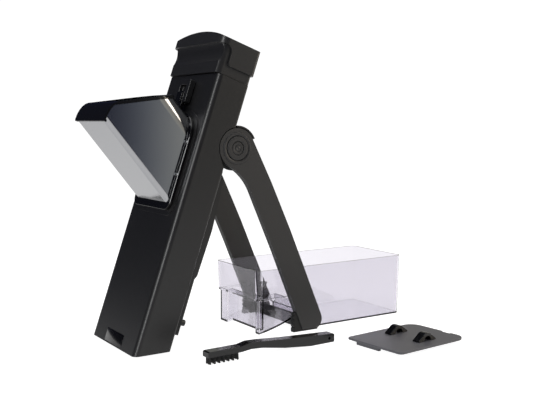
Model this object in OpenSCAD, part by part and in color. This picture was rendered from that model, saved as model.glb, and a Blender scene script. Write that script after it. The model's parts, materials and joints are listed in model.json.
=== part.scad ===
// Upright mandoline slicer: a leaning tower with an inclined chute, a plunging
// handle, a folding rear stand, a clear catch bin, a pusher plate and a brush.
// Tower pieces are drawn in the tower's own frame: X across, Y through the depth
// from the front face, Z along the tower. lean_frame() stands them on the floor.

/* [Tower] */
// Width across the two flat sides
body_w = 134; // [126:1:170]
// Depth of the side walls
body_d = 46; // [44:1:58]
// Length of the front face along the tower
body_len = 361; // [345:1:440]
// Backward lean in degrees
lean = 19.2; // [15:0.2:24]
// Thickness of the moulded walls
wall = 2.8; // [2:0.1:3.4]
// Radius of the front vertical edges
front_r = 7; // [4:0.5:9]
// Height of the rubber feet below the tower
foot_h = 2; // [1.5:0.5:4]

/* [Rear cover] */
// How far the rear cover stands out at its fullest
hump_d = 14; // [11:0.5:16]
// Width of the rear cover's hump
hump_w = 112; // [100:1:114]
// Start of the hump along the tower
hump_lo = 38; // [34:1:44]
// End of the hump along the tower
hump_hi = 246; // [240:1:252]
// Top of the outlet that the slices leave through
outlet_hi = 146; // [120:1:150]

/* [Food window] */
// Width of the chute and of the food window
chute_w = 92; // [80:1:94]
// Lower edge of the food window along the tower
window_lo = 188; // [184:1:194]
// Upper edge of the food window along the tower
window_hi = 300; // [280:1:302]
// Radius of the window's upper corners
window_r = 24; // [10:1:30]

/* [Chute] */
// Length of the chute floor
chute_len = 126; // [100:1:150]
// Angle of the chute floor out of the tower's face, in degrees
chute_rise = 32.3; // [28:0.1:36]
// Fall of the chute's rim towards the front, in degrees
rim_fall = 26.2; // [22:0.2:30]
// Thickness of the chute's steel sheet
sheet = 1.2; // [0.8:0.1:1.6]
// How far the chute frame stands out
frame_d = 4.5; // [3:0.5:6]
// Width of the chute frame's border
frame_b = 6; // [4:0.5:7]

/* [Handle] */
// Height of the handle's side above the tower
cap_h = 46; // [40:1:60]
// Rise of the crowned top across its width
cap_crown = 9.5; // [5:0.5:12]
// How far the top band overhangs the tower's face
cap_lip = 9; // [5:0.5:12]
// Outer width of the sliding column
col_w = 107; // [105:1:108]

/* [Blades] */
// Depth of the sliding column's face behind the tower's face
col_front = 8.5; // [8:0.1:9]
// Thickness of the slicing blade
blade_t = 1; // [0.8:0.1:1.4]
// Slope of the blade's cutting edge across its width
blade_rise = 10; // [6:1:12]
// Greatest slice thickness
slice_max = 8; // [6:0.5:8]
// Number of strip blades
strip_blades = 13; // [7:2:17]
// Travel of the strip blades
strip_travel = 4; // [3:0.5:4]

/* [Guides] */
// Radius of each guide rod
rod_r = 3; // [2.5:0.5:3]
// Depth of the guide rods behind the tower's face
rod_t = 33; // [32:0.5:34]
// Wire thickness of the return springs
spring_wire = 1.6; // [1:0.1:1.8]
// Turns of each return spring
spring_turns = 11; // [8:1:14]

/* [Stand] */
// Hub centre behind the tower's face
hub_t = 55.4; // [54:0.2:58]
// Hub centre along the tower
hub_s = 282; // [278:1:300]
// Radius of the leg's hub disc
hub_r = 25.3; // [22:0.1:26]
// Thickness of each leg
leg_t = 8.4; // [7:0.1:8.5]
// Width of each leg
leg_w = 35; // [28:1:38]
// Offset of the leg's front edge in front of the hub centre
leg_front = 3.5; // [2:0.5:5]
// Radius of the hollow curve from the hub into the leg
leg_fillet = 70; // [50:1:80]
// Angle of the open leg behind the vertical, in degrees
leg_splay = 23.2; // [18:0.2:26]
// Height of the crossbar
bar_h = 16; // [12:1:18]
// Depth of the crossbar
bar_d = 27; // [20:1:30]

/* [Catch bin] */
// Length of the bin
bin_len = 250; // [200:1:300]
// Width of the bin
bin_w = 112; // [100:1:114]
// Height of the bin
bin_h = 86; // [70:1:110]
// Thickness of the bin's walls
bin_wall = 2; // [1.5:0.1:2.6]
// Start of the bin behind the tower's front foot
bin_y = 182; // [180:1:184]
// Height of the front ledge
ledge_h = 45; // [38:1:50]

/* [Pusher and brush] */
// Width of the pusher plate
plate_w = 94; // [80:1:100]
// Length of the pusher plate
plate_len = 122; // [100:1:130]
// Thickness of the pusher plate
plate_t = 2.6; // [2:0.1:3]
// Length of the cleaning brush
brush_len = 188; // [170:1:190]
// Number of bristle tufts along the head
tuft_rows = 7; // [5:1:8]

/* [Hidden] */
$fn = 64;
eps = 0.01;
big = 1200;
run = 0.05;      // radial clearance of a turning or sliding fit
gap = 0.4;       // clearance between parts that pass each other
fit = 0.2;       // clearance of a part let into another
screw_r = 4;     // radius of the thickness screw
screw_m = 1.5;   // radius of the small housing screws

// Tower
base_mid = body_d / cos(lean) / 2;     // centre of the footprint behind the front foot
side_in = body_w / 2 - wall;           // inner face of a side wall
deck_t = 3;                            // thickness of the top deck
rear_r = 3;
floor_z = foot_h;                      // cut of the tower's lower end above the floor
low = 60;                              // run-out of tower solids below the floor cut
pad_t = 1.5;                           // raised border around the food window
pad_b = 12;
flange_t = 2.8;                        // flat flange of the rear cover
flange_in = body_d - flange_t;
hump_in = 2.4;
screw_lo = 36;
screw_hi = body_len - 26;
screw_len = 12;
post_w = 10;
post_d = 11;
outlet_w = 76;

// Sliding column and what it runs on
col_back = rod_t + 5;
col_wall = 3;
flank_in = col_w / 2 - col_wall;
boss_r = 5.3;
rod_x = flank_in - boss_r;
boss_len = 30;
col_lo = 176;
blade_lo = 180;
blade_grip = 206;
plate_lo = 200;
cap_gap = 1;
cap_lo = body_len + cap_gap;
col_hi = cap_lo + 3;
rod_lo = 24;
rod_hi = body_len - 11;
block_t = 6;
bracket_t = 8;

// Slice thickness and strips
gate_front = col_front + col_wall + blade_t + 1.1;   // closed place of the thickness plate
gate_t = 3;
gate_w = 88;
dial_s = 222;
dial_r = 20;
dial_h = 10;
gate_boss_r = 9;
strip_s = 176;
strip_w = 74;
strip_front = gate_front + strip_travel - 0.1;
strip_bar = strip_front + 8;
selector_r = 15;
shaft_r = 3;
hump_t = body_d + hump_d;              // outer face of the hump
lock_x = 33;
lock_s = 209.5;

// Handle
cap_w = body_w + 1;
cap_back = body_d + 3.4;
band_lo = cap_lo + 37;                 // lower edge of the top band
skirt_lo = cap_lo + 12;                // lower edge of the side skirts
skirt_t = 9;                           // front edge of the side skirts
step_out = 9;                          // rounding where the band turns down into the skirt
step_in = 4;
cap_hi = body_len + cap_h;
shell_t = 2.6;

// Chute
chute_slope = tan(chute_rise);
floor_end = [-pad_t - frame_d - chute_len * cos(chute_rise), window_lo + 3.5 + chute_len * sin(chute_rise)];
lip_w = 14;                            // the lip's quarter-ellipse, from the floor's end into the rim
lip_h = 26.5;
lip_foot = [-3.4, 2];
lip_end = 75;
function lip_point(a, in) = floor_end + lip_foot + [in + (lip_w - in) * (1 - cos(a)), (lip_h - in) * sin(a)];
lip_top = lip_point(lip_end, 0);
rim_end_t = -38;
rim_end = [rim_end_t, lip_top[1] + (rim_end_t - lip_top[0]) * tan(rim_fall)];
rim_out = 1.6;
roof_end = [0, rim_end[1] - (0 - rim_end_t) * chute_slope];

// Stand
leg_out = body_w / 2;
leg_in = leg_out - leg_t;
cup_t = 3;
leg_gap = 1.1;                         // groove round the leg where it lies in the side
cup_r = hub_r + 3.2;
cup_in = leg_in - gap - cup_t;
hub_y = hub_t * cos(lean) + hub_s * sin(lean) - base_mid;
hub_z = hub_s * cos(lean) - hub_t * sin(lean);
leg_rear = leg_w - leg_front;
heel_r = 14;
heel_b = leg_rear - heel_r;
heel_a = (hub_z - heel_r + heel_b * sin(leg_splay)) / cos(leg_splay);
toe_a = (hub_z - leg_front * sin(leg_splay)) / cos(leg_splay);
toe_y = hub_y + toe_a * sin(leg_splay) - leg_front * cos(leg_splay);
pin_r = 5;
button_r = 8.4;
cover_r = 20.2;
step_r = 15;
pad_h = 2;
pad_front = 15;
pad_rise = 27;

// Bin, plate and brush
bin_front = bin_y - base_mid;
bin_mid = bin_front + bin_len / 2;
bin_r = 8;
draft = 2.6;
tier_in = 5;
bar_y = toe_y - 1;
channel_y = bar_y - 8;
channel_h = pad_h + bar_h + 7;
channel_w = bar_d + 14;
crease_lean = 27;
swing_out = 15;                        // fold at which the crossbar has left the bin from below
// Where the crossbar's top front edge is once the stand has folded by turn degrees
function bar_edge(turn) = let (p = [bar_y - hub_y, pad_h + bar_h - hub_z])
  [hub_y + p[0] * cos(turn) + p[1] * sin(turn), hub_z + p[1] * cos(turn) - p[0] * sin(turn)];
plate_mid = [187, 324 - base_mid];
plate_turn = 5;
brush_mid = [132, 62 - base_mid];
brush_turn = 2;
plate_z = 5;                           // underside of the plate on its feet
loop_r = 10.5;
loop_hole = 6.2;
loop_w = 11;
brush_head = 46;
bristle_len = 9;

// ---------- helpers ----------
module lean_frame() translate([0, -base_mid, 0]) rotate([-lean, 0, 0]) children();
module hub_frame() translate([0, hub_y, hub_z]) rotate([leg_splay, 0, 0]) children();
module chute_line() translate([0, -pad_t, window_lo + 0.6]) rotate([90 - chute_rise, 0, 0]) children();
module along_s(lo, hi) translate([0, 0, lo]) linear_extrude(hi - lo) children();
module along_t(lo, hi) translate([0, hi, 0]) rotate([90, 0, 0]) linear_extrude(hi - lo) children();
module along_x(lo, hi) translate([lo, 0, 0]) rotate([90, 0, 90]) linear_extrude(hi - lo) children();
module both_sides() for (side = [0, 1]) mirror([side, 0, 0]) children();
module above(z) difference() {
  children();
  translate([-big / 2, -big / 2, z - big]) cube(big);
}

// Corner waste to take off a square corner at the origin
module corner_waste(r) difference() {
  translate([-1, -1]) square(r + 1);
  translate([r, r]) circle(r);
}

// Upright plate outline with its own lower and upper corner radii
module plate_shape(w, lo, hi, r_lo, r_hi) difference() {
  translate([-w / 2, lo]) square([w, hi - lo]);
  for (side = [0, 1]) mirror([side, 0]) {
    translate([-w / 2, lo]) corner_waste(r_lo);
    translate([-w / 2, hi]) mirror([0, 1]) corner_waste(r_hi);
  }
}

module window_shape(grow) {
  plate_shape(chute_w + 2 * grow, window_lo - grow, window_hi + grow, 6 + grow, window_r + grow);
}

module body_plan(inset) {
  plate_shape(body_w - 2 * inset, inset, body_d, max(front_r - inset, 1), rear_r);
}

module pan_screw(len, r, head_r) {
  cylinder(r = r, h = len);
  translate([0, 0, len]) difference() {
    cylinder(r1 = head_r, r2 = head_r * 0.8, h = head_r * 0.5);
    translate([0, 0, head_r * 0.2]) cylinder(r = head_r * 0.4, h = head_r, $fn = 6);
  }
}

// ---------- tower ----------
module leg_outline() {
  arc_x = leg_front + leg_fillet;
  arc_y = sqrt(pow(hub_r + leg_fillet, 2) - pow(arc_x, 2));
  circle(hub_r);
  difference() {
    polygon([[0, 0], [-arc_x, -arc_y], [-leg_front, -arc_y - 1], [0, -arc_y]]);
    translate([-arc_x, -arc_y]) circle(leg_fillet, $fn = 128);
  }
  polygon([[-leg_front, -arc_y], [-leg_front + 1, -arc_y * 2.5], [-leg_front, -toe_a - 2],
           [heel_b - heel_r * 0.39, -heel_a - heel_r * 0.92], [leg_rear, -heel_a],
           [leg_rear, -arc_y * 2.2], [hub_r + 4, -arc_y], [hub_r, 0], [0, 0]]);
  translate([heel_b, -heel_a]) circle(heel_r);
}

module cup_rim() translate([hub_t, hub_s]) difference() {
  circle(cup_r);
  circle(hub_r + leg_gap);
  polygon([[0, 0], [-70, -72], [0, -90], [90, -90], [90, 60], [56, 54]]);
}

// The bearing of each leg; its rim ends in the stop that the open leg rests on
module hub_cups() color("#29292b") lean_frame() both_sides() difference() {
  union() {
    along_x(cup_in - 6, cup_in + cup_t) translate([hub_t, hub_s]) circle(pin_r + 4);
    along_x(cup_in, cup_in + cup_t) translate([hub_t, hub_s]) circle(cup_r);
    along_x(cup_in + 1, side_in - 0.1) cup_rim();
    along_x(cup_in + 1, leg_out) intersection() {
      cup_rim();
      translate([body_d + 0.3, hub_s - 2 * cup_r]) square(4 * cup_r);
    }
  }
  along_x(cup_in - 7, leg_in) translate([hub_t, hub_s]) circle(pin_r);
}

// Room in a side wall for the leg's disc, and for its neck when it is folded
module hub_pocket() {
  circle(hub_r + leg_gap);
  polygon([[0, 0], [-0.85 * hub_r, -0.573 * hub_r], [-0.56 * hub_r, -1.02 * hub_r],
           [-0.356 * hub_r, -1.46 * hub_r], [0.2 * hub_r, -1.46 * hub_r]]);
}

module front_housing() color("#2b2b2d") above(floor_z) lean_frame() difference() {
  union() {
    difference() {
      along_s(-low, body_len) body_plan(0);
      along_s(-low - 1, body_len - deck_t) body_plan(wall);
      translate([-side_in, body_d - rear_r - 2, -low - 1])
        cube([2 * side_in, rear_r + 4, body_len - deck_t + low + 1]);
    }
    along_t(-pad_t, 1) window_shape(pad_b);
    along_t(1, col_front - 1) window_shape(3);
    screw_posts();
  }
  screw_places() cylinder(r = screw_m, h = 4 * screw_len, center = true);
  along_t(-pad_t - 1, col_front) window_shape(0);
  along_s(body_len - deck_t - 1, body_len + 1) translate([-col_w / 2 - gap, col_front - gap])
    square([col_w + 2 * gap, col_back - col_front + 2 * gap]);
  both_sides() along_x(leg_in - gap, leg_out + 1) translate([hub_t, hub_s]) hub_pocket();
  along_t(-1, 0.8) plate_shape(51.4, 3.8, 20.2, 2, 2);
}

module rear_profile() polygon([[flange_in, hump_lo], [body_d + 9.5, hump_lo], [body_d + 9.5, hump_lo + 72],
                               [hump_t - 2, hump_lo + 77], [hump_t, hump_lo + 137],
                               [body_d + 9.8, hump_hi - 6], [body_d + 3, hump_hi], [flange_in, hump_hi]]);
module hump_cavity() polygon([[flange_in - 1, hump_lo + hump_in], [body_d + 9.5 - hump_in, hump_lo + hump_in],
                              [body_d + 9.5 - hump_in, hump_lo + 73], [hump_t - 2 - hump_in, hump_lo + 78],
                              [hump_t - hump_in, hump_lo + 137], [body_d + 9.8 - hump_in, hump_hi - 8],
                              [flange_in - 1, hump_hi - 4]]);

module rear_cover() color("#2d2d2f") above(floor_z) lean_frame() difference() {
  union() {
    along_s(-low, body_len - deck_t - fit) translate([-side_in + fit, flange_in])
      square([2 * (side_in - fit), flange_t]);
    along_x(-hump_w / 2, hump_w / 2) rear_profile();
    for (side = [-1, 1]) translate([side * (hump_w / 2 - 6), body_d + 9, hump_lo + 16])
      rotate([-90, 0, 0]) cylinder(r = 4, h = 7);
  }
  along_x(-hump_w / 2 + hump_in, hump_w / 2 - hump_in) hump_cavity();
  along_t(flange_in - 1, hump_t + 1) plate_shape(outlet_w, hump_lo + 10, outlet_hi, 4, 8);
  along_t(flange_in - 1, hump_t + 1) {
    translate([0, dial_s]) circle(screw_r + run);
    translate([0, strip_s]) circle(shaft_r + run);
    translate([lock_x - 4, lock_s - 3]) square([17, 6]);
  }
  both_sides() along_x(cup_in - 7, side_in + 1) translate([hub_t, hub_s]) circle(cup_r + gap);
  screw_places() cylinder(r = screw_m, h = 2 * screw_len, center = true);
}

module base_plate() color("#242426") difference() {
  intersection() {
    translate([-body_w, -body_w, foot_h]) cube([2 * body_w, 2 * body_w, 3]);
    lean_frame() along_s(-low, low) plate_shape(2 * side_in - gap, wall + gap / 2, flange_in - gap / 2,
                                                front_r - wall, rear_r);
  }
  tower_foot_places() translate([0, 0, -1]) cylinder(r = 7, h = foot_h + 2);
}

module tower_foot_places() {
  children();
  for (x = [-1, 1]) for (y = [-1, 1]) translate([x * (body_w / 2 - 16), y * (base_mid - 13), 0]) children();
}

module tower_feet() color("#161617") tower_foot_places() cylinder(r = 7, h = foot_h + 1);

// A plain glossy plate let into the front, with nothing on it
module front_badge() color("#101216") lean_frame() along_t(-0.2, 0.8) plate_shape(51, 4, 20, 2, 2);

module latch_housing() color("#252527") lean_frame() difference() {
  along_t(-9, -pad_t) plate_shape(33, window_hi + pad_b + 9, body_len - 9, 3, 3);
  along_t(-10, -4) plate_shape(16.6, window_hi + 8, body_len - 16, 1, 2);
}

module slice_ramp() color("#39393b") lean_frame() {
  along_x(-outlet_w / 2, outlet_w / 2) polygon([[wall + 2, 150], [wall + 4, 152], [flange_in + 8, hump_lo + 14],
                                              [flange_in + 8, hump_lo + 11], [flange_in + 6, hump_lo + 11]]);
}

module guide_rods() color("#c9cbce") lean_frame() both_sides()
  translate([rod_x, rod_t, rod_lo]) cylinder(r = rod_r, h = rod_hi - rod_lo);

module lower_rod_block() color("#39393b") lean_frame() difference() {
  translate([-side_in + 1, rod_t - 8, rod_lo]) cube([2 * side_in - 2, flange_in - rod_t + 8, block_t]);
  both_sides() translate([rod_x, rod_t, rod_lo - 1]) cylinder(r = rod_r, h = block_t + 2);
}

module upper_rod_brackets() color("#39393b") lean_frame() both_sides() difference() {
  translate([rod_x - 7, rod_t - 6, rod_hi - bracket_t])
    cube([flank_in - gap - rod_x + 7, flange_in - rod_t + 6, bracket_t]);
  translate([rod_x, rod_t, rod_hi - bracket_t - 1]) cylinder(r = rod_r, h = bracket_t + 2);
}

module screw_places() both_sides() for (s = [screw_lo, screw_hi]) translate([side_in - 5, body_d, s])
  rotate([-90, 0, 0]) children();
module screw_posts() both_sides() for (s = [screw_lo, screw_hi])
  translate([side_in - post_w, flange_in - post_d, s - post_w / 2]) cube([post_w + 1, post_d, post_w]);

module housing_screws() color("#9a9ca0") lean_frame() screw_places()
  translate([0, 0, -screw_len]) pan_screw(screw_len, screw_m, 2 * screw_m);

module pivot_pins() color("#b4b6b9") lean_frame() both_sides() {
  along_x(cup_in - 12, leg_in + 2.4) translate([hub_t, hub_s]) circle(pin_r);
  along_x(leg_in + 2.4, leg_in + 4) translate([hub_t, hub_s]) circle(button_r - 0.4);
}

module pivot_clips() color("#8f9195") lean_frame() both_sides()
  along_x(cup_in - 8, cup_in - 6.6) translate([hub_t, hub_s]) difference() {
    circle(8);
    circle(pin_r);
  }

// Helix swept as one closed tube with a six-sided wire
module coil(r, wire, len, turns, steps) {
  last = turns * steps;
  ring = 6;
  rise = (len - wire) / last;
  points = [for (k = [0:last]) for (j = [0:ring - 1])
    let (a = k * 360 / steps, b = j * 360 / ring, q = r + wire / 2 * cos(b))
    [q * cos(a), q * sin(a), wire / 2 + rise * k + wire / 2 * sin(b)]];
  sides = [for (k = [0:last - 1]) for (j = [0:ring - 1]) for (half = [0, 1])
    let (a = k * ring + j, b = k * ring + (j + 1) % ring)
    half == 0 ? [a, b, b + ring] : [a, b + ring, a + ring]];
  first_end = [[for (j = [0:ring - 1]) ring - 1 - j]];
  last_end = [[for (j = [0:ring - 1]) last * ring + j]];
  polyhedron(points, concat(sides, first_end, last_end));
}

module return_springs() color("#a8aaad") lean_frame() both_sides()
  translate([rod_x, rod_t, rod_lo + block_t + 0.2])
    coil(rod_r + 1.3, spring_wire, col_lo - rod_lo - block_t - 0.6, spring_turns, 12);

// ---------- handle and blade ----------
module slide_column() color("#303032") lean_frame() difference() {
  union() {
    along_t(col_front, col_front + col_wall) polygon([[-col_w / 2, plate_lo], [col_w / 2, plate_lo],
                                                      [col_w / 2, col_hi], [-col_w / 2, col_hi]]);
    both_sides() {
      translate([flank_in, col_front, col_lo]) cube([col_wall, col_back - col_front, col_hi - col_lo]);
      translate([rod_x, rod_t, col_lo]) cylinder(r = boss_r, h = boss_len);
      translate([rod_x, rod_t - 2, col_lo]) cube([flank_in - rod_x + 1, 4, boss_len]);
    }
    translate([-col_w / 2 - 4, col_front - 3, col_hi]) cube([col_w + 8, col_back - col_front + 6, 3]);
  }
  both_sides() {
    translate([rod_x, rod_t, col_lo - 1]) cylinder(r = rod_r + run, h = boss_len + 2);
    translate([col_w / 2 - 14, rod_t - 10, col_hi - 1]) cylinder(r = screw_m, h = 5);
  }
  blade_screw_places() cylinder(r = screw_m, h = 10, center = true);
}

module cap_front(lo, grow) intersection() {
  translate([-cap_w, lo]) square([2 * cap_w, cap_h + 2 * cap_crown]);
  rise_r = (pow(cap_w / 2, 2) + pow(cap_crown, 2)) / (2 * cap_crown);
  translate([0, cap_hi + cap_crown - rise_r + grow]) circle(rise_r, $fn = 360);
}

module handle_grip() color("#262628") lean_frame() difference() {
  along_s(cap_lo, band_lo + 1) translate([0, -cap_lip + 3])
    plate_shape(cap_w - 2 * shell_t - gap, 0, cap_back + cap_lip - 3 - shell_t, 10.5, 3);
  along_s(cap_lo + 3, band_lo + 2) translate([0, 5])
    plate_shape(cap_w - 4 * shell_t, 0, cap_back - 5 - 2 * shell_t, 5, 3);
  translate([-body_w, -cap_lip - 12, cap_lo + 25]) rotate([0, 90, 0])
    cylinder(r = 21, h = 2 * body_w, $fn = 96);
  translate([-body_w, -cap_lip - 20, cap_lo - 1]) cube([2 * body_w, 20 + cap_lip - 2.5, 16]);
  along_s(cap_lo - 1, cap_lo + 4) translate([-col_w / 2 - gap, col_front - gap])
    square([col_w + 2 * gap, col_back - col_front + 2 * gap]);
  both_sides() translate([col_w / 2 - 14, rod_t - 10, cap_lo - 1]) cylinder(r = screw_m, h = 5);
}

module handle_cover() color("#2a2a2c") lean_frame() difference() {
  intersection() {
    along_t(-cap_lip, cap_back) cap_front(skirt_lo, 0);
    along_s(skirt_lo - 1, cap_hi + cap_crown + 1) translate([0, -cap_lip])
      plate_shape(cap_w, 0, cap_back + cap_lip, 12, 4);
  }
  along_x(-body_w, body_w) {
    difference() {
      translate([-cap_lip - 1, skirt_lo - 1]) square([cap_lip + 1 + skirt_t, band_lo - skirt_lo + 1]);
      translate([skirt_t, band_lo]) rotate(180) corner_waste(step_out);
    }
    translate([skirt_t - 0.01, skirt_lo - 0.01]) corner_waste(step_in);
  }
  difference() {
    intersection() {
      along_t(-cap_lip + shell_t, cap_back - shell_t) cap_front(skirt_lo - 5, -shell_t);
      along_s(skirt_lo - 5, cap_hi + cap_crown) translate([0, -cap_lip + shell_t])
        plate_shape(cap_w - 2 * shell_t, 0, cap_back + cap_lip - 2 * shell_t, 10, 3);
    }
    translate([0, 0, band_lo]) both_sides() translate([col_w / 2 - 14, rod_t - 10, 0])
      cylinder(r = 3.5, h = cap_h);
  }
}

module handle_screws() color("#9a9ca0") lean_frame() both_sides()
  translate([col_w / 2 - 14, rod_t - 10, col_hi + 3 - 6]) pan_screw(6, screw_m, 2 * screw_m);

module blade_screw_places() for (x = [-38, -14, 14, 38])
  translate([x, col_front + col_wall + blade_t, blade_grip - 3.4]) rotate([90, 0, 0]) children();

module slicing_blade() color("#cfd1d4") lean_frame() difference() {
  along_t(col_front + col_wall, col_front + col_wall + blade_t)
    polygon([[-flank_in + 1, blade_grip], [-flank_in + 1, blade_lo],
             [flank_in - 1, blade_lo + blade_rise], [flank_in - 1, blade_grip]]);
  blade_screw_places() cylinder(r = screw_m, h = 6, center = true);
}

module blade_screws() color("#9a9ca0") lean_frame() blade_screw_places() translate([0, 0, -0.7]) {
  cylinder(r = screw_m, h = 3.4);
  cylinder(r = 2.6, h = 0.7);
}

// ---------- slice thickness and strips ----------
module thickness_plate() color("#39393b") lean_frame() {
  along_t(gate_front, gate_front + gate_t) plate_shape(gate_w, window_lo, window_hi + 2, 4, window_r - 4);
  along_t(gate_front + gate_t, rod_t + 1) translate([0, dial_s]) difference() {
    circle(gate_boss_r);
    circle(screw_r + run);
  }
}

module thickness_screw() color("#b4b6b9") lean_frame()
  along_t(gate_front + gate_t + slice_max + 2.4, hump_t + 8) translate([0, dial_s]) circle(screw_r);

module knob(r, h, s, hole, ribs) {
  along_t(hump_t + 0.4, hump_t + h) translate([0, s]) difference() {
    circle(r);
    circle(hole);
    for (k = [0:ribs - 1]) rotate(k * 360 / ribs) translate([r + 1.4, 0]) circle(2.2);
  }
}

module thickness_dial() color("#1f1f21") lean_frame() {
  knob(dial_r, dial_h, dial_s, screw_r, 24);
  along_t(hump_t + 8, hump_t + dial_h) translate([0, dial_s]) circle(screw_r);
  along_t(hump_t + dial_h, hump_t + dial_h + 0.8) translate([-1, dial_s + 6]) square([2, 10]);
}

module strip_carrier() color("#39393b") lean_frame() {
  along_t(strip_bar, strip_bar + 4) plate_shape(strip_w, strip_s - 8, strip_s + 6, 1, 1);
  along_t(strip_bar + 4, strip_bar + 17) translate([0, strip_s]) difference() {
    circle(6);
    circle(shaft_r + run);
  }
}

module strip_blade_set() color("#cfd1d4") lean_frame() {
  pitch = (strip_w - 6) / (strip_blades - 1);
  for (k = [0:strip_blades - 1]) translate([-strip_w / 2 + 3 + k * pitch - 0.3, strip_front, strip_s - 6])
    cube([0.6, strip_bar - strip_front, 10]);
}

module selector_shaft() color("#b4b6b9") lean_frame()
  along_t(strip_bar + 8, hump_t + 7) translate([0, strip_s]) circle(shaft_r);

module selector_dial() color("#1f1f21") lean_frame() difference() {
  union() {
    knob(selector_r, dial_h - 3, strip_s, 0.5, 18);
    along_t(hump_t + dial_h - 3, hump_t + dial_h + 1) translate([-2.5, strip_s - selector_r + 2])
      square([5, 2 * selector_r - 4]);
  }
  along_t(hump_t - 1, hump_t + 7) translate([0, strip_s]) circle(shaft_r);
}

module handle_lock() color("#8e2b26") lean_frame() {
  translate([lock_x - 3, col_back - 1.6, lock_s - 2.4]) cube([6, hump_t - col_back + 2.6, 4.8]);
  along_t(hump_t + 0.4, hump_t + 4) translate([lock_x, 0]) plate_shape(11, lock_s - 7, lock_s + 7, 2, 2);
}

// ---------- chute ----------
module chute_section(grow) plate_shape(chute_w + 2 * grow, -grow, 95 + grow, 6 + grow, window_r + grow);
module chute_bore(grow, len) chute_line() translate([0, 0, -20]) linear_extrude(len + 20) chute_section(grow);
module chute_side(grow) polygon([[-pad_t - grow, window_lo - 20], [-pad_t - grow, roof_end[1] + 40],
                                 [rim_end[0] + 40, rim_end[1] + 40 * tan(rim_fall)],
                                 lip_point(60, sheet), lip_point(45, sheet), lip_point(30, sheet),
                                 lip_point(0, sheet), floor_end, floor_end + [4, -14]]);

module chute_tube() intersection() {
  difference() {
    chute_bore(0, chute_len * 2);
    chute_bore(-sheet, chute_len * 2);
  }
  along_x(-chute_w, chute_w) chute_side(0);
}

module chute_shell() color("#8b9099") lean_frame() chute_tube();

module lip_profile() polygon(concat([floor_end + [1, 0], floor_end + [-2.6, 0]],
  [for (a = [0:15:lip_end]) lip_point(a, 0)], [lip_top + [3, 1.4], lip_top + [3, -1.2]],
  [for (a = [lip_end:-15:0]) lip_point(a, 2.6)]));

module chute_rim() color("#232325") lean_frame() difference() {
  union() {
    along_x(-chute_w / 2 - rim_out, chute_w / 2 + rim_out) lip_profile();
    intersection() {
      difference() {
        chute_bore(rim_out, chute_len * 2);
        chute_bore(-sheet, chute_len * 2);
      }
      along_x(-chute_w, chute_w) polygon([lip_top + [0.2, 0], rim_end + [60, 60 * tan(rim_fall)],
                                          rim_end + [60, 60 * tan(rim_fall) - 4.2], lip_top + [0.2, -4.2]]);
    }
  }
  chute_tube();
}

module chute_frame() color("#1e1e20") lean_frame() difference() {
  along_t(-pad_t - frame_d, -pad_t) window_shape(frame_b);
  chute_bore(0, chute_len);
}

module chute_rivets() color("#b4b6b9") lean_frame() both_sides() for (s = [window_lo + 40, window_hi - 30])
  translate([chute_w / 2 + frame_b / 2, -pad_t - frame_d, s]) rotate([90, 0, 0])
    cylinder(r1 = 1.8, r2 = 1.2, h = 0.8);

module chute_latch() color("#1a1a1c") lean_frame() {
  along_t(-8.6, -4.4) plate_shape(15.6, window_hi + frame_b + 3, body_len - 24, 1, 1);
  along_t(-11, -8.6) plate_shape(13, window_hi + 22, body_len - 26, 1, 2);
}

// ---------- stand ----------
module leg_solid() difference() {
  above(pad_h) hub_frame() along_x(leg_in, leg_out) leg_outline();
  hub_frame() {
    along_x(leg_in - 1, leg_in + 2.4) circle(pin_r + run);
    along_x(leg_in + 2.4, leg_out + 1) circle(button_r + 0.2);
    along_x(leg_out - 3, leg_out + 1) circle(cover_r + run);
  }
}

module left_leg() color("#333335") mirror([1, 0, 0]) leg_solid();
module right_leg() color("#333335") leg_solid();

module crossbar() color("#29292b") difference() {
  along_x(-leg_in, leg_in) translate([bar_y + bar_d / 2, 0]) plate_shape(bar_d, pad_h, pad_h + bar_h, 3, 6);
  for (k = [-3:3]) translate([k * 15 - 5.5, bar_y + 4, pad_h + 4]) cube([11, bar_d - 8, bar_h]);
}

module foot_pads() color("#1b1b1d") both_sides() difference() {
  union() {
    along_x(leg_in, leg_out - 1) translate([toe_y - pad_front, 0]) plate_corner(pad_front + 1.5, pad_rise);
    translate([leg_in, toe_y, 0]) cube([leg_t - 0.6, 24, pad_h]);
  }
  above(pad_h) hub_frame() along_x(leg_in - 1, leg_out + 1) leg_outline();
  for (k = [1:4]) translate([leg_in - 1, toe_y - pad_front - 1, k * 5.4]) cube([leg_t + 2, 2.2, 1.8]);
}
module plate_corner(w, h) difference() {
  square([w, h]);
  translate([0, h]) mirror([0, 1]) corner_waste(5);
}

module hub_covers() color("#3a3a3c") hub_frame() both_sides() {
  along_x(leg_out - 3, leg_out + 0.8) difference() {
    circle(cover_r);
    circle(button_r + fit);
  }
  along_x(leg_out + 0.8, leg_out + 1.8) difference() {
    circle(step_r);
    circle(button_r + fit);
  }
}

module button_solid() hub_frame() along_x(leg_in + 7.2, leg_out + 1.2) circle(button_r);
module left_button() color("#2f2f31") mirror([1, 0, 0]) button_solid();
module right_button() color("#2f2f31") button_solid();

module button_springs() color("#a8aaad") hub_frame() both_sides()
  translate([leg_in + 4.1, 0, 0]) rotate([0, 90, 0]) coil(5, 0.6, 3, 3, 12);

// ---------- catch bin ----------
module bin_block(inset, lo) hull() {
  translate([0, bin_mid, bin_h - 1 + eps]) linear_extrude(1) bin_plan(inset);
  translate([0, bin_mid, lo]) linear_extrude(1) bin_plan(inset + draft);
}
module bin_plan(inset) translate([0, -bin_len / 2])
  plate_shape(bin_w - 2 * inset, inset, bin_len - inset, bin_r - inset, bin_r - inset);

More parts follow.
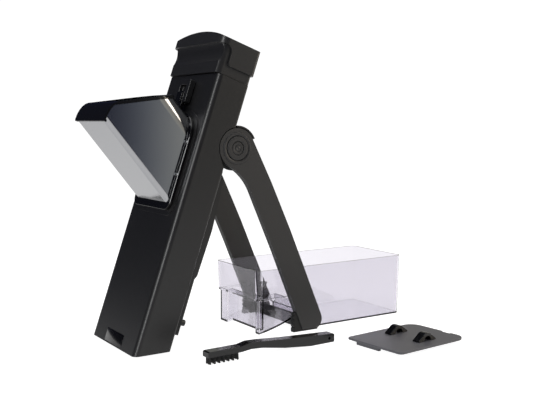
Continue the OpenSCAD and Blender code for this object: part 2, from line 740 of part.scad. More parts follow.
module bin_form(inset, lo) difference() {
  bin_block(inset, lo);
  along_x(-bin_w, bin_w) polygon(concat(
    [for (turn = [swing_out:-swing_out / 5:0]) bar_edge(turn) + [0, inset]],
    [[channel_y + channel_h * tan(crease_lean) - inset, channel_h + inset],
     [channel_y + channel_w + inset, channel_h + inset], [channel_y + channel_w + inset, -4],
     bar_edge(swing_out) - [0, 4]]));
  both_sides() along_x(bin_w / 2 - tier_in - inset, bin_w) tier_side(inset);
  translate([-bin_w, bin_front - 1, -1]) cube([2 * bin_w, 1 + tier_in + inset, ledge_h + 1 + inset]);
  translate([-bin_w / 2 + 2 * tier_in + 14 - inset, bin_front, -1])
    cube([bin_w - 4 * tier_in - 18 + 2 * inset, 2 * tier_in + 4 + inset, ledge_h + 1 + inset]);
}
module tier_side(inset) polygon([[bin_front - 1, -1], [channel_y + inset, -1], [channel_y + inset, 0],
  [channel_y + (ledge_h + inset) * tan(crease_lean) + inset, ledge_h + inset], [bin_front - 1, ledge_h + inset]]);

module catch_bin() color("#e3e2e8", 0.35) difference() {
  bin_form(0, 0);
  bin_form(bin_wall, bin_wall);
}

// ---------- pusher plate ----------
module plate_place() translate([plate_mid[0], plate_mid[1], 0]) rotate(plate_turn) children();
module pusher_plate() color("#4a4a4d") plate_place() along_s(plate_z, plate_z + plate_t) difference() {
  plate_shape(plate_w, -plate_len / 2, plate_len / 2, 6, 16);
  translate([plate_w / 2 - 40, plate_len / 2 - 3]) square([14, 5]);
}
module finger_loops() color("#1c1c1e") plate_place() for (x = [-24, 24])
  translate([x, 6, plate_z + plate_t]) rotate([90, 0, 90]) along_s(-loop_w / 2, loop_w / 2) difference() {
    union() {
      circle(loop_r);
      polygon([[-1.5 * loop_r, 0], [-1.5 * loop_r, 1.6], [-0.76 * loop_r, 0.65 * loop_r],
               [0.76 * loop_r, 0.65 * loop_r], [1.5 * loop_r, 1.6], [1.5 * loop_r, 0]]);
    }
    circle(loop_hole);
    translate([-20, -40]) square(40);
  }
module plate_feet() color("#2a2a2c") plate_place() for (y = [-1, 1])
  translate([-plate_w / 2 + 14, y * (plate_len / 2 - 6) - 2, 0]) cube([plate_w * 0.42, 4, plate_z]);

// ---------- brush ----------
module brush_place() translate([brush_mid[0], brush_mid[1], 0]) rotate(brush_turn) children();
module brush_handle() color("#232325") brush_place() difference() {
  along_x(-6.5, 6.5) polygon([[0, bristle_len], [0, bristle_len + 6], [2, bristle_len + 7],
    [brush_head, bristle_len + 7], [brush_head + 12, bristle_len + 9.5], [brush_head + 26, bristle_len + 9],
    [brush_head + 64, bristle_len + 6], [brush_len - 2, 11], [brush_len, 10], [brush_len, 1], [brush_len - 1, 0],
    [brush_len - 38, 0], [brush_head + 64, 4], [brush_head + 30, bristle_len + 0.5],
    [brush_head + 14, bristle_len + 1.5], [brush_head, bristle_len]]);
  along_x(-7, 7) translate([brush_len - 8, 5.4]) circle(1.8);
  tufts();
}
module tufts() for (k = [0:tuft_rows - 1]) for (x = [-3.6, 0, 3.6])
  translate([x, 4 + k * (brush_head - 8) / (tuft_rows - 1), 0]) cylinder(r = 1.4, h = bristle_len + 3);
module brush_bristles() color("#1a1a1b") brush_place() tufts();

front_housing();
rear_cover();
hub_cups();
base_plate();
tower_feet();
front_badge();
latch_housing();
slice_ramp();
guide_rods();
lower_rod_block();
upper_rod_brackets();
housing_screws();
pivot_pins();
pivot_clips();
return_springs();
slide_column();
handle_grip();
handle_cover();
handle_screws();
slicing_blade();
blade_screws();
thickness_plate();
thickness_dial();
thickness_screw();
strip_carrier();
strip_blade_set();
selector_dial();
selector_shaft();
handle_lock();
chute_shell();
chute_rim();
chute_frame();
chute_rivets();
chute_latch();
left_leg();
right_leg();
crossbar();
foot_pads();
hub_covers();
left_button();
right_button();
button_springs();
catch_bin();
pusher_plate();
finger_loops();
plate_feet();
brush_handle();
brush_bristles();
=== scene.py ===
"""Finishes and fine details of an upright mandoline slicer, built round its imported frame."""

import json
import math
import random

import bmesh
import bpy
from bpy.props import FloatProperty, FloatVectorProperty, IntProperty, PointerProperty
from bpy.types import Operator, Panel, PropertyGroup
from mathutils import Matrix, Vector


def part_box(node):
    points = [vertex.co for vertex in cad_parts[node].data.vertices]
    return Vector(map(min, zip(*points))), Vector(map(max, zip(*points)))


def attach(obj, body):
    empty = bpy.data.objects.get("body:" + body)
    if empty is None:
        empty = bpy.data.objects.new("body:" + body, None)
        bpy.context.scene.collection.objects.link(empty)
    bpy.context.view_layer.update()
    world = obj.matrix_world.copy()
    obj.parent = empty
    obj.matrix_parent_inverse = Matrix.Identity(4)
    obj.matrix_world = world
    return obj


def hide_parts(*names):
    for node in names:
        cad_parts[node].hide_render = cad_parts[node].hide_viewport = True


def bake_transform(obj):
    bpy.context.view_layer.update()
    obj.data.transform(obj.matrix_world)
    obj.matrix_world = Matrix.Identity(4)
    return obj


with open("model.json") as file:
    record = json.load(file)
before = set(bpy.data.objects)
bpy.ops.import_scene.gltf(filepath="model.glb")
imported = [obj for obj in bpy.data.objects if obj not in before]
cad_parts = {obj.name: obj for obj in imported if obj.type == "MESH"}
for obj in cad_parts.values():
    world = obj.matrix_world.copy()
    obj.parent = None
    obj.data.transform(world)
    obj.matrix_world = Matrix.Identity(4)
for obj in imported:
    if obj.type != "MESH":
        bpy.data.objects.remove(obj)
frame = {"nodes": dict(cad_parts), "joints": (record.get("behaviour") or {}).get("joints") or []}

bl_info = {
    "name": "Upright Mandoline Slicer",
    "version": (1, 0, 0),
    "blender": (4, 5, 0),
    "location": "3D View > Sidebar > Slicer",
    "description": "Finishes and fine details of an upright mandoline slicer",
    "category": "Object",
}

MM = 0.001
NODES = frame["nodes"]
JOINTS = {joint["name"]: joint for joint in frame["joints"]}

# The tower's own axes: along it, out of its front face, and across
ALONG = Vector(JOINTS["handle_stroke"]["axis"])
OUT = Vector(JOINTS["chute_pull"]["axis"])
ACROSS = Vector((1, 0, 0))
HUB = Vector(JOINTS["stand_fold"]["pos_m"])
DIAL = Vector(JOINTS["thickness_dial_turn"]["pos_m"])


def tint(code):
    """Linear red, green and blue of an sRGB hex colour."""
    parts = [int(code[i : i + 2], 16) / 255 for i in (1, 3, 5)]
    return [c / 12.92 if c <= 0.04045 else ((c + 0.055) / 1.055) ** 2.4 for c in parts]


def length(name, text, default):
    """A size in metres that a user may change."""
    return FloatProperty(name=name, description=text, default=default, min=0, unit="LENGTH", precision=5)


def colour(name, text, code):
    """A colour that a user may change, given as sRGB hex."""
    return FloatVectorProperty(name=name, description=text, default=tint(code), min=0, max=1, subtype="COLOR")


def turned_by(name, text, degrees):
    """An angle that a user may change, given in degrees."""
    return FloatProperty(name=name, description=text, default=math.radians(degrees), subtype="ANGLE")


def power(name, text, watts):
    """A light's power that a user may change."""
    return FloatProperty(name=name, description=text, default=watts, min=0, unit="POWER")


class SlicerSizes(PropertyGroup):
    """Sizes of the details that the frame leaves plain."""

    housing_edge: length("Housing edge", "Rounding of the tower's moulded edges", 0.7 * MM)
    cap_edge: length("Cap edge", "Rounding of the handle cap's edges", 1.3 * MM)
    chute_edge: length("Chute edge", "Rounding of the chute's frame and rim", 0.9 * MM)
    leg_edge: length("Leg edge", "Rounding of the legs' edges", 0.9 * MM)
    bin_edge: length("Bin edge", "Rounding of the clear bin's edges", 0.7 * MM)
    plate_edge: length("Plate edge", "Rounding of the pusher plate's edges", 0.5 * MM)
    steel_edge: length("Steel edge", "Break on the edges of the metal parts", 0.15 * MM)
    wire: length("Spring wire", "Thickness of the return springs' wire", 1.6 * MM)
    bristle: length("Bristle", "Thickness of one bristle where it leaves the head", 0.5 * MM)
    bristles: IntProperty(name="Bristles", description="Bristles in one tuft", default=16, min=4, max=40)
    grain: length("Moulding grain", "Width of the grain on the moulded parts", 0.9 * MM)


class SlicerColours(PropertyGroup):
    """Colours of the finishes."""

    housing: colour("Housing", "Moulded body of the tower", "#19191a")
    cap: colour("Cap", "Moulded cap of the handle", "#222223")
    legs: colour("Legs", "Moulded legs of the stand", "#242425")
    gloss: colour("Gloss black", "Polished rim and frame of the chute", "#070708")
    steel: colour("Steel", "Sheet steel of the chute", "#b4b5b8")
    lock: colour("Lock", "Red lock of the handle", "#9a2620")
    clear: colour("Clear", "Clear bin", "#e4e2e8")
    plate: colour("Plate", "Pusher plate", "#55555a")
    rubber: colour("Rubber", "Feet and pads", "#161617")
    marks: colour("Marks", "Ticks round the thickness dial", "#b9bcc2")


class SlicerStudio(PropertyGroup):
    """Where the camera stands and how the studio is lit."""

    azimuth: turned_by("Azimuth", "Camera's turn round the object", 57.1055)
    elevation: turned_by("Elevation", "Camera's height above the horizon", 5.4729)
    distance: length("Distance", "From the camera to what it looks at", 1.156172)
    aim: FloatVectorProperty(
        name="Aim",
        description="What the camera looks at",
        default=(0, 0.207362, 0.173069),
        subtype="XYZ",
        unit="LENGTH",
    )
    lens: FloatProperty(name="Lens", description="Focal length in millimetres", default=56.364, min=1)
    floor_size: length("Floor size", "Radius of the round floor", 1.5)
    key: power("Key", "Power of the side softbox", 7)
    top: power("Top", "Power of the overhead softbox", 16)
    strip: power("Strip", "Power of the strip light along the tower", 14)


# ---------- finishes ----------
def add(tree, kind, inputs=None, links=None, **settings):
    """Adds one shader node with its settings, its constant inputs and the sockets that feed it."""
    node = tree.nodes.new(kind)
    for name, value in settings.items():
        setattr(node, name, value)
    for socket, value in (inputs or {}).items():
        node.inputs[socket].default_value = value
    for socket, source in (links or {}).items():
        tree.links.new(source, node.inputs[socket])
    return node


def blank(name):
    """A material with only its output node."""
    material = bpy.data.materials.new(name)
    material.use_nodes = True
    tree = material.node_tree
    tree.nodes.clear()
    return material, tree, tree.nodes.new("ShaderNodeOutputMaterial")


def shader(name, rgb, inputs, grain=None, depth=0.0, stretch=(1, 1, 1), turn=0.0, patchy=0.0):
    """A Principled finish whose fine relief has grains of the given width in metres.

    Stretch lengthens the grains along each axis once turn has lined them up with the piece.
    """
    material, tree, output = blank(name)
    principled = add(tree, "ShaderNodeBsdfPrincipled", {"Base Color": (*rgb, 1), **inputs})
    tree.links.new(principled.outputs["BSDF"], output.inputs["Surface"])
    if grain:
        place = add(tree, "ShaderNodeTexCoord")
        turned = add(tree, "ShaderNodeMapping", {"Rotation": (turn, 0, 0)}, {"Vector": place.outputs["Object"]})
        scaled = add(tree, "ShaderNodeMapping", {"Scale": stretch}, {"Vector": turned.outputs["Vector"]})
        grains = {"Scale": 1 / grain, "Detail": 3, "Roughness": 0.6}
        relief = add(tree, "ShaderNodeTexNoise", grains, {"Vector": scaled.outputs["Vector"]})
        bump = add(tree, "ShaderNodeBump", {"Strength": 1, "Distance": depth}, {"Height": relief.outputs["Fac"]})
        tree.links.new(bump.outputs["Normal"], principled.inputs["Normal"])
    if patchy:
        wear = add(tree, "ShaderNodeTexNoise", {"Scale": 1 / (30 * MM), "Detail": 2})
        base = inputs["Roughness"]
        limits = {"To Min": base - patchy, "To Max": base + patchy}
        spread = add(tree, "ShaderNodeMapRange", limits, {"Value": wear.outputs["Fac"]})
        tree.links.new(spread.outputs["Result"], principled.inputs["Roughness"])
    return material


def make_finishes(scene):
    """All finishes, by the name of what the real surface is."""
    tints, sizes = scene.slicer_colours, scene.slicer_sizes
    lean = math.atan2(ALONG.y, ALONG.z)
    return {
        # ABS from a spark-eroded tool: deep satin black with soft, broad highlights
        "moulded_abs": shader(
            "Moulded ABS", tints.housing, {"Roughness": 0.36, "IOR": 1.53}, sizes.grain, 0.012 * MM, patchy=0.04
        ),
        # The cap's tool is finer: a little smoother than the body
        "fine_abs": shader(
            "Fine moulded ABS", tints.cap, {"Roughness": 0.33, "IOR": 1.53}, sizes.grain, 0.010 * MM, patchy=0.04
        ),
        # ABS from a polished tool: black with clean, hard-edged reflections
        "polished_abs": shader("Polished ABS", tints.gloss, {"Roughness": 0.16, "IOR": 1.53}),
        # Glass-filled nylon: dull black with a faint cloudiness from the fibres
        "glass_nylon": shader(
            "Glass-filled nylon", tints.legs, {"Roughness": 0.5, "IOR": 1.53}, sizes.grain, 0.02 * MM, patchy=0.05
        ),
        # Polypropylene: waxy dark grey, softer highlight than the ABS
        "moulded_pp": shader(
            "Moulded polypropylene", tints.plate, {"Roughness": 0.4, "IOR": 1.49}, sizes.grain, 0.01 * MM
        ),
        # Thermoplastic rubber: dead matt and nearly black
        "rubber": shader(
            "Thermoplastic rubber", tints.rubber, {"Roughness": 0.8, "IOR": 1.5}, sizes.grain, 0.03 * MM
        ),
        # Stainless sheet, fine satin brushed along the chute: a silver sheen that stretches across the grain
        "brushed_steel": shader(
            "Brushed stainless steel",
            tints.steel,
            {"Roughness": 0.13, "Metallic": 1.0},
            0.4 * MM,
            0.002 * MM,
            (1, 0.02, 1),
            -lean,
        ),
        # Ground and stropped blade steel: bright, with fine lines along the blade
        "ground_steel": shader(
            "Ground blade steel",
            tint("#cfd1d4"),
            {"Roughness": 0.2, "Metallic": 1.0},
            0.3 * MM,
            0.003 * MM,
            (0.03, 1, 1),
        ),
        # Bright zinc plate: slightly yellow-grey and soft
        "zinc": shader("Zinc-plated steel", tint("#a8aaac"), {"Roughness": 0.35, "Metallic": 1.0}),
        # Oil-drawn spring wire: darker steel with a thin shine
        "drawn_wire": shader("Drawn spring wire", tint("#8d8f92"), {"Roughness": 0.28, "Metallic": 1.0}),
        # Red ABS: the one coloured part, so that the lock is easy to find
        "red_abs": shader("Red ABS", tints.lock, {"Roughness": 0.35, "IOR": 1.53}, sizes.grain, 0.008 * MM),
        # Styrene acrylonitrile: water clear, its edges going faintly grey
        "clear_san": shader(
            "Clear styrene acrylonitrile",
            tints.clear,
            {"Roughness": 0.03, "IOR": 1.45, "Transmission Weight": 1.0},
        ),
        # Nylon monofilament: black bristles with a slight shine on their flanks
        "nylon_bristle": shader("Nylon bristle", tint("#141415"), {"Roughness": 0.45, "IOR": 1.53}),
        # Pad-printed enamel: pale grey and even
        "printed_enamel": shader("Printed enamel", tints.marks, {"Roughness": 0.45, "IOR": 1.5}),
    }


FINISHES = {}


def finishes(scene):
    """The finishes, made the first time they are asked for."""
    if not FINISHES:
        FINISHES.update(make_finishes(scene))
    return FINISHES


# ---------- making pieces ----------
def built(name, mesh, finish, body, *replaced):
    """A finished object from a bmesh, riding on a body in place of the named frame nodes."""
    bmesh.ops.recalc_face_normals(mesh, faces=mesh.faces)
    data = bpy.data.meshes.new(name)
    mesh.to_mesh(data)
    mesh.free()
    data.materials.append(finish)
    data.shade_smooth()
    piece = bpy.data.objects.new(name, data)
    bpy.context.scene.collection.objects.link(piece)
    if body:
        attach(piece, body)
    if replaced:
        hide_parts(*replaced)
    return piece


def even_shading(piece):
    """Keeps flat faces flat beside their rounded edges."""
    normals = piece.modifiers.new("Even shading", "WEIGHTED_NORMAL")
    normals.keep_sharp = True
    normals.weight = 60


def rounded(piece, width, segments=3, sharper_than=35):
    """Joins the frame's faces, clears its flats and rounds the edges that are left."""
    weld = piece.modifiers.new("Join", "WELD")
    weld.merge_threshold = 0.002 * MM
    flats = piece.modifiers.new("Clear flats", "DECIMATE")
    flats.decimate_type = "DISSOLVE"
    flats.angle_limit = math.radians(1)
    bevel = piece.modifiers.new("Rounded edges", "BEVEL")
    bevel.width = width
    bevel.segments = segments
    bevel.limit_method = "ANGLE"
    bevel.angle_limit = math.radians(sharper_than)
    bevel.miter_outer = "MITER_ARC"
    even_shading(piece)


def dressed(names, finish, width=0.0, segments=3):
    """Gives frame nodes their finish and rounded edges."""
    for name in names:
        node = NODES[name]
        node.data.materials.clear()
        node.data.materials.append(finish)
        if width:
            rounded(node, width, segments)


def turned(profile, centre, axis, steps=96):
    """A turned solid: profile is a closed loop of (radius, height) about the axis through centre."""
    mesh = bmesh.new()
    axis = Vector(axis).normalized()
    first = axis.orthogonal().normalized()
    second = axis.cross(first)
    rings = []
    for k in range(steps):
        angle = 2 * math.pi * k / steps
        around = first * math.cos(angle) + second * math.sin(angle)
        rings.append([mesh.verts.new(centre + around * r + axis * h) for r, h in profile])
    for k in range(steps):
        here, beyond = rings[k], rings[(k + 1) % steps]
        for i in range(len(profile)):
            j = (i + 1) % len(profile)
            mesh.faces.new((here[i], here[j], beyond[j], beyond[i]))
    bmesh.ops.remove_doubles(mesh, verts=mesh.verts, dist=0.0005 * MM)
    return mesh


def bar(mesh, place, size, edge, segments=2):
    """Adds a block with rounded edges to the mesh: place is its matrix, size its three sides."""
    made = bmesh.ops.create_cube(mesh, size=1, matrix=place @ Matrix.Diagonal((*size, 1)))
    edges = list({e for v in made["verts"] for e in v.link_edges})
    bmesh.ops.bevel(mesh, geom=edges, offset=edge, segments=segments, affect="EDGES", profile=0.5)


def swept(mesh, path, section, closed_ends=True):
    """Sweeps a closed section of (side, up) points along a path of (point, side, up) frames."""
    rings = [[mesh.verts.new(point + side * a + up * b) for a, b in section] for point, side, up in path]
    count = len(section)
    for here, beyond in zip(rings, rings[1:]):
        for i in range(count):
            j = (i + 1) % count
            mesh.faces.new((here[i], here[j], beyond[j], beyond[i]))
    if closed_ends:
        mesh.faces.new(rings[0])
        mesh.faces.new(rings[-1])


def round_section(radius, sides=10):
    """Points of a round section."""
    angles = [2 * math.pi * k / sides for k in range(sides)]
    return [(radius * math.cos(angle), radius * math.sin(angle)) for angle in angles]


def wound(mesh, start, axis, radius, wire, height, turns, steps=20):
    """Adds a helical spring of round wire that starts at start and rises along the axis."""
    axis = Vector(axis).normalized()
    first = axis.orthogonal().normalized()
    second = axis.cross(first)
    count = turns * steps
    path = []
    for k in range(count + 1):
        angle = 2 * math.pi * k / steps
        around = first * math.cos(angle) + second * math.sin(angle)
        rise = wire / 2 + (height - wire) * k / count
        path.append((start + around * radius + axis * rise, around, axis))
    swept(mesh, path, round_section(wire / 2))


def middle(name):
    """Centre of a frame node's box."""
    low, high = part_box(name)
    return (low + high) / 2


def tower_frame(point):
    """Matrix whose X is across the tower, Y out of its front face and Z along it, at a point."""
    return Matrix.Translation(point) @ Matrix((ACROSS, OUT, ALONG)).transposed().to_4x4()


class SLICER_OT_tower(Operator):
    """Finishes the tower's housing, rear cover, base, feet and ramp"""

    bl_idname = "slicer.tower"
    bl_label = "Tower"

    def execute(self, context):
        finish = finishes(context.scene)
        sizes = context.scene.slicer_sizes
        dressed(["front_housing", "rear_cover", "hub_cups"], finish["moulded_abs"], sizes.housing_edge)
        inner = ["base_plate", "slice_ramp", "lower_rod_block", "upper_rod_brackets"]
        dressed(inner, finish["moulded_abs"], sizes.housing_edge / 2)
        dressed(["tower_feet"], finish["rubber"], sizes.housing_edge)
        dressed(["guide_rods", "pivot_pins"], finish["zinc"], sizes.steel_edge)
        dressed(["housing_screws", "pivot_clips"], finish["zinc"], sizes.steel_edge)
        return {"FINISHED"}


class SLICER_OT_springs(Operator):
    """Winds the return springs and the button springs from round wire"""

    bl_idname = "slicer.springs"
    bl_label = "Springs"

    def execute(self, context):
        finish = finishes(context.scene)
        wire = context.scene.slicer_sizes.wire
        low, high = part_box("return_springs")
        rod_low, rod_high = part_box("guide_rods")
        mesh = bmesh.new()
        coil_radius = 4.3 * MM
        turns = 11
        rod_radius = 3 * MM
        rod_x = rod_high.x - rod_radius
        # the springs' axis passes through the middle of the rods' lower ends
        foot = Vector((rod_x, (rod_low.y + rod_high.y) / 2, (rod_low.z + rod_high.z) / 2))
        lift = (high.z - low.z - 2 * (coil_radius + wire / 2) * ALONG.y) / ALONG.z
        start_s = (low.z + (coil_radius + wire / 2) * ALONG.y - foot.z) / ALONG.z
        for side in (-1, 1):
            start = Vector((side * rod_x, foot.y, foot.z)) + ALONG * start_s
            wound(mesh, start, ALONG, coil_radius, wire, lift, turns)
        spring = built("return_springs_wire", mesh, finish["drawn_wire"], None, "return_springs")
        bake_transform(spring)
        low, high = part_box("button_springs")
        centre = Vector((0, HUB.y, HUB.z))
        height, coil_radius, fine_wire = 3 * MM, 5 * MM, 0.6 * MM
        for side, body in ((-1, "left_release"), (1, "right_release")):
            mesh = bmesh.new()
            outer = side * high.x
            inner = outer - side * height
            wound(mesh, centre + ACROSS * inner, ACROSS * side, coil_radius, fine_wire, height, 3)
            spring = built(f"{body}_spring", mesh, finish["drawn_wire"], None, "button_springs")
            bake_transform(spring)
        return {"FINISHED"}


class SLICER_OT_badge(Operator):
    """Lays the plain glossy plate into the base of the tower"""

    bl_idname = "slicer.badge"
    bl_label = "Badge"

    def execute(self, context):
        finish = finishes(context.scene)
        low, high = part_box("front_badge")
        centre = middle("front_badge")
        width = high.x - low.x
        tall = 16 * MM
        mesh = bmesh.new()
        proud = 0.4 * MM
        face = centre - OUT * (centre.dot(OUT) - face_level()) + OUT * proud
        bar(mesh, tower_frame(face - OUT * 0.5 * MM), (width, 1 * MM, tall), 0.35 * MM)
        built("badge_plate", mesh, finish["polished_abs"], "tower", "front_badge")
        return {"FINISHED"}


def face_level():
    """How far the tower's front face stands along OUT: the badge's recess is cut into it."""
    return middle("guide_rods").dot(OUT) + 33 * MM


class SLICER_OT_chute(Operator):
    """Finishes the steel chute with its polished rim and frame, and its latch"""

    bl_idname = "slicer.chute"
    bl_label = "Chute and latch"

    def execute(self, context):
        finish = finishes(context.scene)
        sizes = context.scene.slicer_sizes
        dressed(["chute_shell"], finish["brushed_steel"], sizes.steel_edge)
        dressed(["chute_rim", "chute_frame"], finish["polished_abs"], sizes.chute_edge)
        dressed(["latch_housing"], finish["moulded_abs"], sizes.housing_edge)
        dressed(["chute_latch"], finish["polished_abs"], sizes.plate_edge)
        dressed(["chute_rivets"], finish["zinc"], sizes.steel_edge)
        return {"FINISHED"}


class SLICER_OT_handle(Operator):
    """Finishes the handle's cap, grip and sliding column with the slicing blade"""

    bl_idname = "slicer.handle"
    bl_label = "Handle and blade"

    def execute(self, context):
        finish = finishes(context.scene)
        sizes = context.scene.slicer_sizes
        dressed(["handle_cover"], finish["fine_abs"], sizes.cap_edge)
        dressed(["handle_grip"], finish["fine_abs"], sizes.housing_edge)
        dressed(["slide_column"], finish["moulded_abs"], sizes.housing_edge / 2)
        dressed(["slicing_blade"], finish["ground_steel"], sizes.steel_edge)
        dressed(["handle_screws", "blade_screws"], finish["zinc"], sizes.steel_edge)
        return {"FINISHED"}


class SLICER_OT_settings(Operator):
    """Finishes the thickness plate, the strip blades, the two dials and the lock"""

    bl_idname = "slicer.settings"
    bl_label = "Dials and strip blades"

    def execute(self, context):
        finish = finishes(context.scene)
        sizes = context.scene.slicer_sizes
        dressed(["strip_blade_set"], finish["ground_steel"], sizes.steel_edge)
        dressed(["thickness_screw", "selector_shaft"], finish["zinc"], sizes.steel_edge)
        dressed(["thickness_dial", "selector_dial"], finish["fine_abs"], sizes.plate_edge)
        dressed(["thickness_plate", "strip_carrier"], finish["moulded_abs"], sizes.plate_edge)
        dressed(["handle_lock"], finish["red_abs"], sizes.plate_edge)
        self.ticks(finish["printed_enamel"])
        return {"FINISHED"}

    def ticks(self, enamel):
        """Prints a fan of ticks on the rear cover round the thickness dial."""
        mesh = bmesh.new()
        count = 9
        ring = 25 * MM
        for k in range(count):
            angle = math.radians(-60 + 120 * k / (count - 1))
            outward = ALONG * math.cos(angle) + ACROSS * math.sin(angle)
            sideways = outward.cross(OUT)
            place = Matrix((sideways, OUT, outward)).transposed().to_4x4()
            long = (5 if k % 4 == 0 else 3) * MM
            place = Matrix.Translation(DIAL + outward * ring) @ place
            bar(mesh, place, (0.8 * MM, 0.3 * MM, long), 0.05 * MM, 1)
        built("dial_ticks", mesh, enamel, "tower")


class SLICER_OT_stand(Operator):
    """Finishes the legs, crossbar and pads, and turns the hub covers and release buttons"""

    bl_idname = "slicer.stand"
    bl_label = "Stand"

    def execute(self, context):
        finish = finishes(context.scene)
        sizes = context.scene.slicer_sizes
        dressed(["left_leg", "right_leg"], finish["glass_nylon"], sizes.leg_edge)
        dressed(["crossbar"], finish["glass_nylon"], sizes.leg_edge / 2)
        dressed(["foot_pads"], finish["rubber"], sizes.housing_edge / 2)
        leg_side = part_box("right_leg")[1].x
        # radius and height above the leg's face, round the cover's ring, step and bore
        ring = [
            (8.7, -2.9), (8.7, 1.3), (9.2, 1.8), (14.2, 1.8), (14.8, 1.5), (15.0, 1.0), (15.0, -0.8), (15.4, -0.9),
            (15.9, -0.8), (16.1, 0.8), (18.9, 0.8), (19.8, 0.6), (20.15, 0.1), (20.15, -2.9),
        ]
        face = [
            (0.01, -0.9), (0.01, 1.15), (3.6, 1.1), (3.8, 0.2), (4.3, 0.2), (4.5, 1.1), (7.3, 1.1), (8.1, 0.9),
            (8.35, 0.4), (8.35, -0.9),
        ]
        for side, body, word in ((-1, "left_release", "left"), (1, "right_release", "right")):
            centre = Vector((side * leg_side, HUB.y, HUB.z))
            scaled = [(r * MM, h * MM) for r, h in ring]
            mesh = turned(scaled, centre, ACROSS * side)
            cover = built(f"{word}_hub_cover", mesh, finish["glass_nylon"], "stand", "hub_covers")
            even_shading(cover)
            scaled = [(r * MM, h * MM) for r, h in face]
            mesh = turned(scaled, centre, ACROSS * side)
            button = built(f"{word}_release_button", mesh, finish["glass_nylon"], body, f"{word}_button")
            even_shading(button)
        return {"FINISHED"}


class SLICER_OT_bin(Operator):
    """Makes the catch bin clear"""

    bl_idname = "slicer.bin"
    bl_label = "Catch bin"

    def execute(self, context):
        finish = finishes(context.scene)
        dressed(["catch_bin"], finish["clear_san"], context.scene.slicer_sizes.bin_edge, 2)
        return {"FINISHED"}


class SLICER_OT_pusher(Operator):
    """Finishes the pusher plate, its two finger loops and its feet"""

    bl_idname = "slicer.pusher"
    bl_label = "Pusher plate"

    def execute(self, context):
        finish = finishes(context.scene)
        sizes = context.scene.slicer_sizes
        dressed(["pusher_plate"], finish["moulded_pp"], sizes.plate_edge)
        dressed(["plate_feet"], finish["moulded_pp"], sizes.plate_edge)
        dressed(["finger_loops"], finish["polished_abs"], 1.6 * MM)
        return {"FINISHED"}


class SLICER_OT_brush(Operator):
    """Finishes the brush's handle and sets its bristles tuft by tuft"""

    bl_idname = "slicer.brush"
    bl_label = "Brush"

    def execute(self, context):
        finish = finishes(context.scene)
        sizes = context.scene.slicer_sizes
        dressed(["brush_handle"], finish["polished_abs"], sizes.housing_edge)
        low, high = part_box("brush_bristles")
        turn = math.radians(2)  # how the brush lies on the table
        lengthways = Vector((-math.sin(turn), math.cos(turn), 0))
        sideways = Vector((math.cos(turn), math.sin(turn), 0))
        rows, lanes = 7, (-3.6, 0, 3.6)
        first, last = 4 * MM, 42 * MM
        centre = (low + high) / 2
        origin = Vector((centre.x, centre.y, 0)) - lengthways * (first + last) / 2
        rng = random.Random(7)
        mesh = bmesh.new()
        root, tip = 11 * MM, 0.0
        for row in range(rows):
            for lane in lanes:
                reach = first + (last - first) * row / (rows - 1)
                tuft = origin + lengthways * reach + sideways * lane * MM
                for strand in range(sizes.bristles):
                    angle = strand * math.pi * (3 - math.sqrt(5))
                    spread = 1.15 * MM * math.sqrt((strand + 0.5) / sizes.bristles)
                    offset = lengthways * math.cos(angle) * spread + sideways * math.sin(angle) * spread
                    lean = offset * rng.uniform(0.15, 0.35)
                    base = tuft + offset + Vector((0, 0, root))
                    end = tuft + offset + lean + Vector((0, 0, tip + rng.uniform(0, 0.5) * MM))
                    path = []
                    for k in range(4):
                        share = k / 3
                        point = base.lerp(end, share) + lean * share * share * 0.3
                        path.append((point, lengthways, sideways))
                    swept(mesh, path, round_section(sizes.bristle / 2, 5))
        built("bristle_strands", mesh, finish["nylon_bristle"], "brush", "brush_bristles")
        return {"FINISHED"}


# ---------- studio ----------
def lit(name, size, size_y, power, place, aim, rgb=(1, 1, 1)):
    """An area light that the camera doesn't see."""
    data = bpy.data.lights.new(name, "AREA")
    data.shape = "RECTANGLE"
    data.size, data.size_y = size, size_y
    data.energy = power
    data.color = rgb
    light = bpy.data.objects.new(name, data)
    light.location = place
    light.rotation_euler = (Vector(place) - Vector(aim)).to_track_quat("Z", "Y").to_euler()
    light.visible_camera = False
    bpy.context.scene.collection.objects.link(light)
    return light


# The dim studio round the object, from behind the camera's left to the far side
SURROUND = (
    (0.0, "#3a3c46"), (0.60, "#191b2c"), (0.695, "#202338"), (0.71, "#5c6474"), (0.73, "#b3b4ae"),
    (0.80, "#a8a49a"), (1.0, "#6a6a70"),
)


def in_view(tree):
    """A shader node that is 1 where a thing is seen, straight or through the clear bin, and 0 elsewhere."""
    path = add(tree, "ShaderNodeLightPath")
    return add(
        tree,
        "ShaderNodeMath",
        links={0: path.outputs["Is Camera Ray"], 1: path.outputs["Is Transmission Ray"]},
        operation="MAXIMUM",
    )


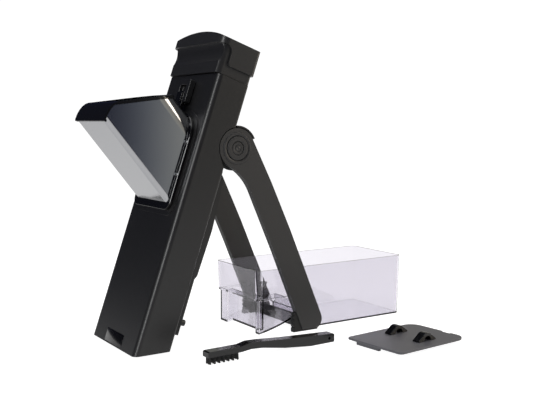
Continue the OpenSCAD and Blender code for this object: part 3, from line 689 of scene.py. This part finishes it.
class SLICER_OT_stage(Operator):
    """Lays the pale floor, hangs the soft lights and stands the camera"""

    bl_idname = "slicer.stage"
    bl_label = "Stage"

    def execute(self, context):
        scene = context.scene
        studio = scene.slicer_studio
        scene.view_settings.view_transform = "Standard"
        self.floor(studio)
        self.world(scene)
        aim = Vector(studio.aim)
        lit("Side softbox", 0.5, 1.0, studio.key, (0.75, 1.35, 0.6), aim, tint("#fff2e0"))
        lit("Overhead softbox", 1.6, 1.6, studio.top, (0.0, 0.1, 1.6), aim)
        lit("Edge strip", 0.25, 1.3, studio.strip, (0.78, -1.25, 0.75), aim)
        camera = bpy.data.objects.new("Camera", bpy.data.cameras.new("Camera"))
        camera.data.lens = studio.lens
        a, e = studio.azimuth, studio.elevation
        back = Vector((math.sin(a) * math.cos(e), -math.cos(a) * math.cos(e), math.sin(e)))
        camera.location = aim + back * studio.distance
        camera.rotation_euler = back.to_track_quat("Z", "Y").to_euler()
        scene.collection.objects.link(camera)
        scene.camera = camera
        return {"FINISHED"}

    def floor(self, studio):
        """A round pale floor that glows faintly, as a lit table top does."""
        mesh = bmesh.new()
        bmesh.ops.create_circle(mesh, cap_ends=True, segments=96, radius=studio.floor_size)
        material, tree, output = blank("White table")
        seen = in_view(tree)
        glow = add(tree, "ShaderNodeMapRange", {"To Min": 0.5, "To Max": 0.95}, {"Value": seen.outputs["Value"]})
        principled = add(
            tree,
            "ShaderNodeBsdfPrincipled",
            {
                "Base Color": (0.4, 0.4, 0.4, 1),
                "Roughness": 0.9,
                "Specular IOR Level": 0.0,
                "Emission Color": (1, 1, 1, 1),
            },
            {"Emission Strength": glow.outputs["Result"]},
        )
        tree.links.new(principled.outputs["BSDF"], output.inputs["Surface"])
        floor = built("floor", mesh, material, None)
        floor.location.z = -0.3 * MM
        floor.location.y = studio.aim[1]

    def world(self, scene):
        """A white surround behind the object and a dim, graded studio around it."""
        world = bpy.data.worlds.new("Studio")
        scene.world = world
        world.use_nodes = True
        tree = world.node_tree
        tree.nodes.clear()
        place = add(tree, "ShaderNodeTexCoord")
        parts = add(tree, "ShaderNodeSeparateXYZ", links={"Vector": place.outputs["Generated"]})
        share = add(tree, "ShaderNodeMapRange", {"From Min": -1.0, "From Max": 1.0}, {"Value": parts.outputs["Y"]})
        grade = add(tree, "ShaderNodeValToRGB", links={"Fac": share.outputs["Result"]})
        stops = grade.color_ramp.elements
        stops[0].color = (*tint(SURROUND[0][1]), 1)
        stops[1].color = (*tint(SURROUND[-1][1]), 1)
        for position, code in SURROUND[1:-1]:
            stops.new(position).color = (*tint(code), 1)
        dim = add(tree, "ShaderNodeBackground", {"Strength": 1.0}, {"Color": grade.outputs["Color"]})
        white = add(tree, "ShaderNodeBackground", {"Color": (1, 1, 1, 1), "Strength": 1.05})
        seen = in_view(tree)
        either = add(
            tree,
            "ShaderNodeMixShader",
            links={"Fac": seen.outputs["Value"], 1: dim.outputs["Background"], 2: white.outputs["Background"]},
        )
        add(tree, "ShaderNodeOutputWorld", links={"Surface": either.outputs["Shader"]})


PIECES = (
    SLICER_OT_tower,
    SLICER_OT_springs,
    SLICER_OT_badge,
    SLICER_OT_chute,
    SLICER_OT_handle,
    SLICER_OT_settings,
    SLICER_OT_stand,
    SLICER_OT_bin,
    SLICER_OT_pusher,
    SLICER_OT_brush,
    SLICER_OT_stage,
)


class SLICER_PT_panel(Panel):
    """Sizes, colours and pieces of the slicer"""

    bl_label = "Slicer"
    bl_space_type = "VIEW_3D"
    bl_region_type = "UI"
    bl_category = "Slicer"

    def draw(self, context):
        layout = self.layout
        for group in (context.scene.slicer_sizes, context.scene.slicer_colours, context.scene.slicer_studio):
            box = layout.box()
            for name in group.bl_rna.properties.keys():
                if name not in ("rna_type", "name"):
                    box.prop(group, name)
        for piece in PIECES:
            layout.operator(piece.bl_idname)


CLASSES = (SlicerSizes, SlicerColours, SlicerStudio, *PIECES, SLICER_PT_panel)


def register():
    for item in CLASSES:
        bpy.utils.register_class(item)
    bpy.types.Scene.slicer_sizes = PointerProperty(type=SlicerSizes)
    bpy.types.Scene.slicer_colours = PointerProperty(type=SlicerColours)
    bpy.types.Scene.slicer_studio = PointerProperty(type=SlicerStudio)


def unregister():
    del bpy.types.Scene.slicer_studio
    del bpy.types.Scene.slicer_colours
    del bpy.types.Scene.slicer_sizes
    for item in reversed(CLASSES):
        bpy.utils.unregister_class(item)


def main():
    """Builds everything in order."""
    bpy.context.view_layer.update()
    register()
    for piece in PIECES:
        group, name = piece.bl_idname.split(".")
        getattr(getattr(bpy.ops, group), name)()


if __name__ == "__main__":
    main()
